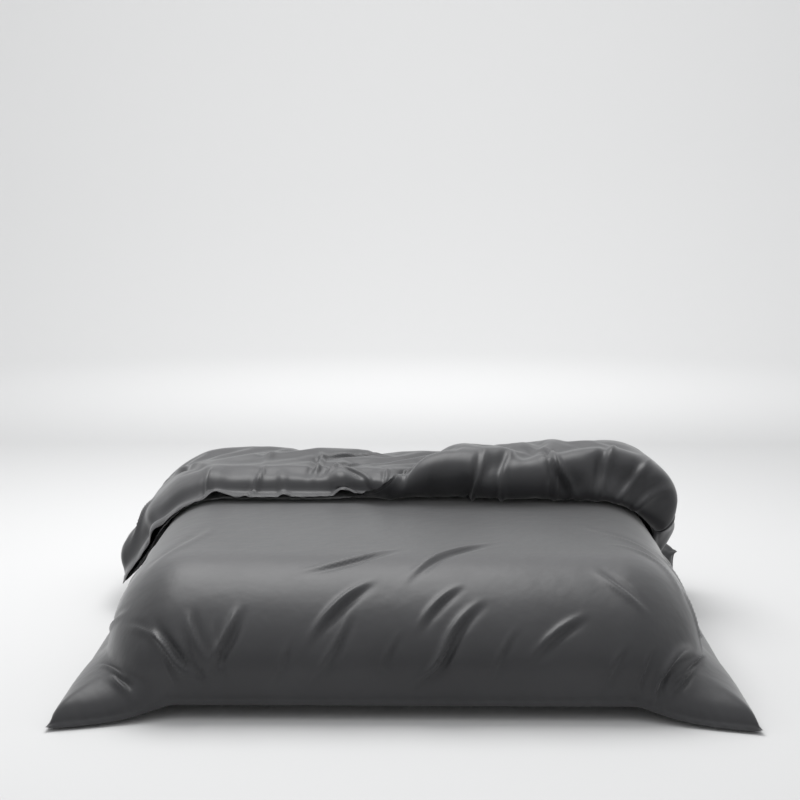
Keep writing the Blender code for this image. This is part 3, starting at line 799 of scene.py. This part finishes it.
def corners(back, cambric, tape):
    """In each corner, the quilt's cord loop and the cover's tape tied through it."""
    for side, side_name in ((-1, "left"), (1, "right")):
        for v, end_name, body, inner in (
            (CORNER_LOOP, "foot", "lying", 1),
            (COVER_LENGTH - HEM_BAND, "head", "turnback", -1),
        ):
            for name, original, finish, paint, reach, lift in (
                ("quilt_loop", thread_ring(LOOP_RADIUS, LOOP_CORD), cambric, "quilt_cambric", 0, LOOP_CORD),
                ("corner_tie", corner_knot(), tape, "cotton_tape", LOOP_RADIUS + TIE_RADIUS, TIE_RADIUS),
            ):
                u = side * (COVER_WIDTH / 2 - CORNER_LOOP - reach)
                here = seats(back, np.array([u]), v + inner * reach, CLOTH_GAP + lift)
                piece = copies(f"{name}_{end_name}_{side_name}_sewn", original, here, finish)
                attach(piece, body)
                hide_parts(f"{name}_{end_name}_{side_name}")


def care_label(back, finish):
    """A blank satin label in the foot seam, on the back panel's inner side."""
    us = LABEL_PLACE + np.linspace(-0.5, 0.5, LABEL_COLUMNS) * LABEL_WIDTH
    vs = np.linspace(LABEL_INSET, LABEL_INSET + LABEL_DEPTH, LABEL_ROWS)
    points, normal = on_panel(back, us, vs)
    piece, _, _ = grid_piece("satin_label", points + CLOTH_GAP * normal, us, vs, finish)
    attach(piece, "lying")
    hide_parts("care_label")
    return piece


# Finishes ------------------------------------------------------------------------------------


def linear(hex_colour):
    """Linear colour, with alpha, of an sRGB hex colour."""
    parts = [int(hex_colour[k : k + 2], 16) / 255 for k in (1, 3, 5)]
    return [p / 12.92 if p <= 0.04045 else ((p + 0.055) / 1.055) ** 2.4 for p in parts] + [1.0]


def start_finish(name, colour, roughness, **settings):
    """A material and its shader, with the values that are the same all over the piece."""
    made = bpy.data.materials.new(name)
    made.use_nodes = True
    shader = made.node_tree.nodes["Principled BSDF"]
    shader.inputs["Base Color"].default_value = linear(colour)
    shader.inputs["Roughness"].default_value = roughness
    for socket, value in settings.items():
        shader.inputs[socket.replace("_", " ")].default_value = value
    return made, shader


def add_node(made, kind, links=(), **values):
    """A node in a material, with its inputs set, and linked as {input: other node's output}."""
    node = made.node_tree.nodes.new(kind)
    for key, value in values.items():
        if key in node.inputs:
            node.inputs[key].default_value = value
        else:
            setattr(node, key, value)
    for socket, output in dict(links).items():
        made.node_tree.links.new(output, node.inputs[socket])
    return node


def charcoal_sateen():
    """Gives the eye the duvet's dark, soft gloss: long highlights along the folds, a pale haze where
    the cloth turns away, and small rumples that break both up."""
    made, shader = start_finish(
        "charcoal_cotton_sateen",
        "#2f2f31",
        0.44,
        Sheen_Weight=0.35,
        Sheen_Roughness=0.45,
        Specular_IOR_Level=0.38,
    )
    links = made.node_tree.links
    flat = add_node(made, "ShaderNodeUVMap", uv_map="UVMap").outputs["UV"]
    # Tone: the dye and the wear of washing, in patches of about 0.3 m
    patches = add_node(made, "ShaderNodeTexNoise", {"Vector": flat}, Scale=3.5, Detail=2.0)
    tone = add_node(made, "ShaderNodeValToRGB", {"Fac": patches.outputs["Fac"]})
    tone.color_ramp.elements[0].position, tone.color_ramp.elements[1].position = 0.35, 0.65
    tone.color_ramp.elements[0].color = linear("#2c2c2e")
    tone.color_ramp.elements[1].color = linear("#323234")
    links.new(tone.outputs["Color"], shader.inputs["Base Color"])
    # Gloss: sateen shows its floats more where it is pulled tight
    worn = add_node(made, "ShaderNodeTexNoise", {"Vector": flat}, Scale=9.0, Detail=3.0)
    range_of_gloss = {"To Min": 0.38, "To Max": 0.47}
    gloss = add_node(made, "ShaderNodeMapRange", {"Value": worn.outputs["Fac"]}, **range_of_gloss)
    links.new(gloss.outputs["Result"], shader.inputs["Roughness"])
    # Rumples of 40 to 90 mm, under a weave of 1.5 mm floats (0.25 mm in the cloth, drawn coarse)
    rumples = add_node(made, "ShaderNodeTexNoise", {"Vector": flat}, Scale=16.0, Detail=2.0, Roughness=0.45)
    soft = add_node(
        made, "ShaderNodeBump", {"Height": rumples.outputs["Fac"]}, Strength=0.3, Distance=0.006
    )
    floats = add_node(made, "ShaderNodeMapping", {"Vector": flat}, Scale=(1 / 0.0015, 1 / 0.006, 1.0))
    weave = add_node(made, "ShaderNodeTexNoise", {"Vector": floats.outputs["Vector"]}, Scale=1.0, Detail=1.0)
    yarn = add_node(
        made,
        "ShaderNodeBump",
        {"Height": weave.outputs["Fac"], "Normal": soft.outputs["Normal"]},
        Strength=0.10,
        Distance=0.0004,
    )
    links.new(yarn.outputs["Normal"], shader.inputs["Normal"])
    return made


def white_cambric():
    """Gives the eye a dense matt white cotton with a faint grain, seen only inside the opening."""
    made, shader = start_finish("white_cotton_cambric", "#e6e4de", 0.85, Sheen_Weight=0.2)
    where = add_node(made, "ShaderNodeTexCoord").outputs["Object"]
    grain = add_node(made, "ShaderNodeTexNoise", {"Vector": where}, Scale=260.0, Detail=2.0)
    bump = add_node(made, "ShaderNodeBump", {"Height": grain.outputs["Fac"]}, Strength=0.2, Distance=0.0005)
    made.node_tree.links.new(bump.outputs["Normal"], shader.inputs["Normal"])
    return made


def thread_finish():
    """Gives the eye the topstitch: a matt thread a shade lighter than the cloth, with a twist."""
    made, shader = start_finish("charcoal_polyester_thread", "#4a4a4c", 0.6, Sheen_Weight=0.3)
    where = add_node(made, "ShaderNodeTexCoord").outputs["Object"]
    twist = add_node(made, "ShaderNodeTexNoise", {"Vector": where}, Scale=1500.0)
    bump = add_node(made, "ShaderNodeBump", {"Height": twist.outputs["Fac"]}, Strength=0.3, Distance=0.0002)
    made.node_tree.links.new(bump.outputs["Normal"], shader.inputs["Normal"])
    return made


def button_resin():
    """Gives the eye a dark grey button with faint cloudy marbling under a soft polish."""
    made, shader = start_finish("dark_grey_button_resin", "#3c3c40", 0.35, Coat_Weight=0.3)
    where = add_node(made, "ShaderNodeTexCoord").outputs["Object"]
    cloud = add_node(made, "ShaderNodeTexNoise", {"Vector": where}, Scale=180.0, Detail=3.0)
    tone = add_node(made, "ShaderNodeValToRGB", {"Fac": cloud.outputs["Fac"]})
    tone.color_ramp.elements[0].color = linear("#333337")
    tone.color_ramp.elements[1].color = linear("#4a4a4f")
    made.node_tree.links.new(tone.outputs["Color"], shader.inputs["Base Color"])
    return made


def cotton_tape():
    """Gives the eye a matt charcoal twill tape, with its twill as a fine slanting rib."""
    made, shader = start_finish("charcoal_cotton_tape", "#414144", 0.85, Sheen_Weight=0.2)
    where = add_node(made, "ShaderNodeTexCoord").outputs["Object"]
    twill = add_node(made, "ShaderNodeTexWave", {"Vector": where}, Scale=300.0, bands_direction="DIAGONAL")
    bump = add_node(made, "ShaderNodeBump", {"Height": twill.outputs["Fac"]}, Strength=0.25, Distance=0.0003)
    made.node_tree.links.new(bump.outputs["Normal"], shader.inputs["Normal"])
    return made


def label_satin():
    """Gives the eye a white satin label, smoother and glossier than the cotton round it."""
    made, shader = start_finish("white_satin_label_tape", "#e2e2de", 0.4, Sheen_Weight=0.15)
    flat = add_node(made, "ShaderNodeUVMap", uv_map="UVMap").outputs["UV"]
    stretched = add_node(made, "ShaderNodeMapping", {"Vector": flat}, Scale=(1 / 0.004, 1 / 0.0005, 1.0))
    floats = add_node(made, "ShaderNodeTexNoise", {"Vector": stretched.outputs["Vector"]}, Scale=1.0)
    bump = add_node(made, "ShaderNodeBump", {"Height": floats.outputs["Fac"]}, Strength=0.2, Distance=0.0002)
    made.node_tree.links.new(bump.outputs["Normal"], shader.inputs["Normal"])
    return made


# The studio ----------------------------------------------------------------------------------


def add_to_scene(name, data):
    made = bpy.data.objects.new(name, data)
    bpy.context.scene.collection.objects.link(made)
    return made


def swept_floor():
    """A pale round floor that curves up all round."""
    bm = bmesh.new()
    arc = np.linspace(0, math.pi / 2, SWEEP_STEPS)
    profile = [(0.0, 0.0)]
    profile += [(SWEEP_FLAT + SWEEP_RADIUS * math.sin(t), SWEEP_RADIUS * (1 - math.cos(t))) for t in arc]
    points = [bm.verts.new((out, 0, up - MATTRESS_HEIGHT)) for out, up in profile]
    edges = [bm.edges.new(pair) for pair in zip(points, points[1:])]
    turning = dict(cent=(0, 0, 0), axis=(0, 0, 1), angle=2 * math.pi, steps=SWEEP_SIDES)
    bmesh.ops.spin(bm, geom=points + edges, **turning)
    bmesh.ops.remove_doubles(bm, verts=bm.verts, dist=1e-4)
    sweep = bpy.data.meshes.new("studio_floor")
    bm.to_mesh(sweep)
    bm.free()
    floor = add_to_scene("studio_floor", sweep)
    floor.data.shade_smooth()
    paint, _ = start_finish("matt_white_floor_paint", "#cdcdcd", 0.9)
    floor.data.materials.append(paint)


def soft_lamp(name, size, power, where, turn):
    glow = bpy.data.lights.new(name, "AREA")
    glow.size, glow.energy = size, power
    lamp = add_to_scene(name, glow)
    lamp.location = where
    lamp.rotation_euler = turn


def studio():
    """The floor, a soft lamp overhead, one for the backdrop, a pale surround and the camera."""
    swept_floor()
    soft_lamp("softbox", *SOFTBOX)
    soft_lamp("backdrop_wash", *BACKDROP_WASH)
    surround = bpy.data.worlds.new("pale_surround")
    bpy.context.scene.world = surround
    surround.use_nodes = True
    sky = surround.node_tree.nodes["Background"]
    sky.inputs["Color"].default_value = linear("#eeeff0")
    sky.inputs["Strength"].default_value = SURROUND_STRENGTH
    bpy.context.scene.view_settings.view_transform = "Standard"
    lens = bpy.data.cameras.new("camera")
    lens.lens, lens.sensor_width = LENS_LENGTH, SENSOR_WIDTH
    camera = add_to_scene("camera", lens)
    camera.location = CAMERA_PLACE
    camera.rotation_euler = CAMERA_TURN
    bpy.context.scene.camera = camera


def main():
    sateen, cambric, thread = charcoal_sateen(), white_cambric(), thread_finish()
    back, face = evened(settled_layers())
    back, face = (back, BACK_CREASES, -1), (face, FACE_CREASES, 1)
    cover_face = panel("cover_face_draped", face, sateen)
    cover_back = panel("cover_back_draped", back, sateen)
    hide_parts("cover_face_lying", "cover_face_turnback")
    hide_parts("cover_back_lying", "cover_back_turnback")
    pad = quilt(back, face, cambric)
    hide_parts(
        *(f"{part}_{end}" for part in QUILT_PARTS for end in ("lying", "turnback")),
    )
    face_facing = facing("hem_facing_face", face, sateen)
    back_facing = facing("hem_facing_back", back, sateen)
    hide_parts("opening_facing_face")
    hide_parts("opening_facing_back")
    face_stitch = topstitch("topstitch_face", face, thread)
    back_stitch = topstitch("topstitch_back", back, thread)
    buttons(back, button_resin())
    corners(back, cambric, cotton_tape())
    tag = care_label(back, label_satin())
    studio()


main()
